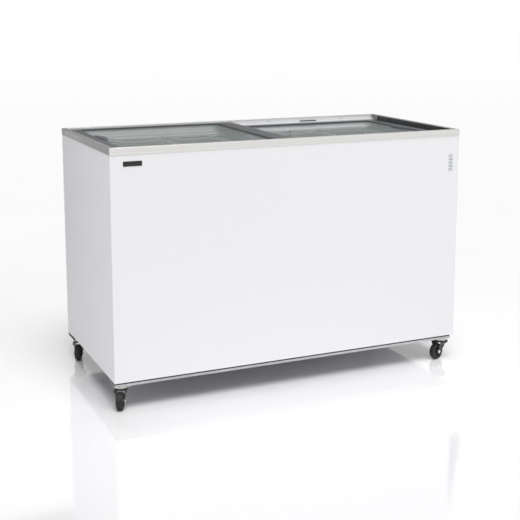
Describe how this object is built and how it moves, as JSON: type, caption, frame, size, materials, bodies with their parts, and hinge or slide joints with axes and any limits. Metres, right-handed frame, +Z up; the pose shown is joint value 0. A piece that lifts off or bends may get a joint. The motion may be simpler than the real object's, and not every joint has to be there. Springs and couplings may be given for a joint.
{
  "type": "chest freezer",
  "caption": "White chest freezer on swivel casters with sliding glass lids, an anodised top frame, hanging baskets, an insulated tank and a rear compressor bay.",
  "frame": {"origin": "on the floor under the middle of the cabinet, where the casters' wheels stand", "axes": "+X along the cabinet's length to the right as seen from the front, +Y from the front panel to the back panel, +Z up"},
  "size_m": [1.4, 0.6868, 0.926],
  "materials": {
    "white_paint": "smooth semi-gloss white coil coat",
    "anodised_frame": "satin anodised",
    "track_plastic": "extruded light grey",
    "dark_plastic": "fine grained dark grey",
    "lid_plastic": "satin mid grey moulding",
    "grip_plastic": "satin lighter grey moulding",
    "lid_glass": "clear tempered",
    "embossed_aluminium": "stucco embossed",
    "foam": "closed-cell polyurethane foam",
    "coated_wire": "light grey coated wire",
    "galvanised": "zinc plated, lightly spangled",
    "black_steel": "black enamel",
    "condenser_fins": "plain fin stock, slightly dusty",
    "copper_tube": "drawn copper, slightly dulled",
    "wheel_rubber": "dark grey tread",
    "badge_black": "glossy black plate, blank",
    "white_plastic": "glossy white"
  },
  "bodies": {
    "cabinet": {"front_panel": "white_paint", "side_panel_left": "white_paint", "side_panel_right": "white_paint", "back_panel": "white_paint", "rear_grille": "galvanised", "base_pan": "galvanised", "compressor_tray": "galvanised", "base_rail_front": "galvanised", "base_rail_back": "galvanised", "bay_partition": "galvanised", "insulation_foam": "foam", "inner_liner": "embossed_aluminium", "drain_tube": "white_plastic", "top_frame_front": "anodised_frame", "top_frame_right": "anodised_frame", "top_frame_back": "anodised_frame", "top_frame_left": "anodised_frame", "lid_track_front": "track_plastic", "lid_track_back": "track_plastic", "end_stop_left": "dark_plastic", "end_stop_right": "dark_plastic", "compressor": "black_steel", "condenser": "condenser_fins", "fan_bracket": "galvanised", "filter_drier": "copper_tube", "discharge_pipe": "copper_tube", "thermostat_housing": "dark_plastic", "cord_gland": "dark_plastic", "badge_plate": "badge_black", "thermometer": "dark_plastic", "caster_plate_front_left": "galvanised", "caster_plate_front_right": "galvanised", "caster_plate_back_left": "galvanised", "caster_plate_back_right": "galvanised"},
    "lid_left": {"lid_left_frame": "lid_plastic", "lid_left_glass": "lid_glass", "lid_left_grip": "grip_plastic"},
    "lid_right": {"lid_right_frame": "lid_plastic", "lid_right_glass": "lid_glass", "lid_right_grip": "grip_plastic"},
    "fan": {"fan_blade": "dark_plastic"},
    "knob": {"thermostat_knob": "white_plastic"},
    "plug": {"drain_plug": "dark_plastic"},
    "basket_1": {"wire_basket_1": "coated_wire"},
    "basket_2": {"wire_basket_2": "coated_wire"},
    "basket_3": {"wire_basket_3": "coated_wire"},
    "basket_4": {"wire_basket_4": "coated_wire"},
    "basket_5": {"wire_basket_5": "coated_wire"},
    "swivel_front_left": {"caster_fork_front_left": "black_steel", "caster_axle_front_left": "galvanised"},
    "roller_front_left": {"caster_wheel_front_left": "wheel_rubber"},
    "swivel_front_right": {"caster_fork_front_right": "black_steel", "caster_axle_front_right": "galvanised"},
    "roller_front_right": {"caster_wheel_front_right": "wheel_rubber"},
    "swivel_back_left": {"caster_fork_back_left": "black_steel", "caster_axle_back_left": "galvanised"},
    "roller_back_left": {"caster_wheel_back_left": "wheel_rubber"},
    "swivel_back_right": {"caster_fork_back_right": "black_steel", "caster_axle_back_right": "galvanised"},
    "roller_back_right": {"caster_wheel_back_right": "wheel_rubber"}
  },
  "joints": [
    {"name": "lid_left_slide", "type": "slide", "parent": "cabinet", "child": "lid_left", "axis": [1, 0, 0], "range_m": [0, 0.672]},
    {"name": "lid_right_slide", "type": "slide", "parent": "cabinet", "child": "lid_right", "axis": [1, 0, 0], "range_m": [-0.672, 0]},
    {"name": "thermostat_knob_turn", "type": "hinge", "parent": "cabinet", "child": "knob", "pos_m": [0.64875, 0.309, 0.315], "axis": [0, 1, 0], "range_deg": [-135, 135]},
    {"name": "fan_spin", "type": "hinge", "parent": "cabinet", "child": "fan", "pos_m": [0.5519, -0.031, 0.2029], "axis": [0, 1, 0], "continuous": true},
    {"name": "drain_plug_pull", "type": "slide", "parent": "cabinet", "child": "plug", "axis": [0, 0, 1], "range_m": [0, 0.04]},
    {"name": "wire_basket_1_lift", "type": "slide", "parent": "cabinet", "child": "basket_1", "axis": [0, 0, 1], "range_m": [0, 0.006]},
    {"name": "wire_basket_2_lift", "type": "slide", "parent": "cabinet", "child": "basket_2", "axis": [0, 0, 1], "range_m": [0, 0.006]},
    {"name": "wire_basket_3_lift", "type": "slide", "parent": "cabinet", "child": "basket_3", "axis": [0, 0, 1], "range_m": [0, 0.006]},
    {"name": "wire_basket_4_lift", "type": "slide", "parent": "cabinet", "child": "basket_4", "axis": [0, 0, 1], "range_m": [0, 0.006]},
    {"name": "wire_basket_5_lift", "type": "slide", "parent": "cabinet", "child": "basket_5", "axis": [0, 0, 1], "range_m": [0, 0.006]},
    {"name": "swivel_front_left", "type": "hinge", "parent": "cabinet", "child": "swivel_front_left", "pos_m": [-0.6637, -0.2902, 0.073], "axis": [0, 0, 1], "continuous": true},
    {"name": "wheel_front_left_spin", "type": "hinge", "parent": "swivel_front_left", "child": "roller_front_left", "pos_m": [-0.67346, -0.31213, 0.0315], "axis": [0.9135, -0.4067, 0], "continuous": true},
    {"name": "swivel_front_right", "type": "hinge", "parent": "cabinet", "child": "swivel_front_right", "pos_m": [0.6637, -0.2902, 0.073], "axis": [0, 0, 1], "continuous": true},
    {"name": "wheel_front_right_spin", "type": "hinge", "parent": "swivel_front_right", "child": "roller_front_right", "pos_m": [0.64115, -0.29841, 0.0315], "axis": [0.342, -0.9397, 0], "continuous": true},
    {"name": "swivel_back_left", "type": "hinge", "parent": "cabinet", "child": "swivel_back_left", "pos_m": [-0.6637, 0.2902, 0.073], "axis": [0, 0, 1], "continuous": true},
    {"name": "wheel_back_left_spin", "type": "hinge", "parent": "swivel_back_left", "child": "roller_back_left", "pos_m": [-0.67346, 0.26827, 0.0315], "axis": [0.9135, -0.4067, 0], "continuous": true},
    {"name": "swivel_back_right", "type": "hinge", "parent": "cabinet", "child": "swivel_back_right", "pos_m": [0.6637, 0.2902, 0.073], "axis": [0, 0, 1], "continuous": true},
    {"name": "wheel_back_right_spin", "type": "hinge", "parent": "swivel_back_right", "child": "roller_back_right", "pos_m": [0.67346, 0.31213, 0.0315], "axis": [-0.9135, 0.4067, 0], "continuous": true}
  ]
}
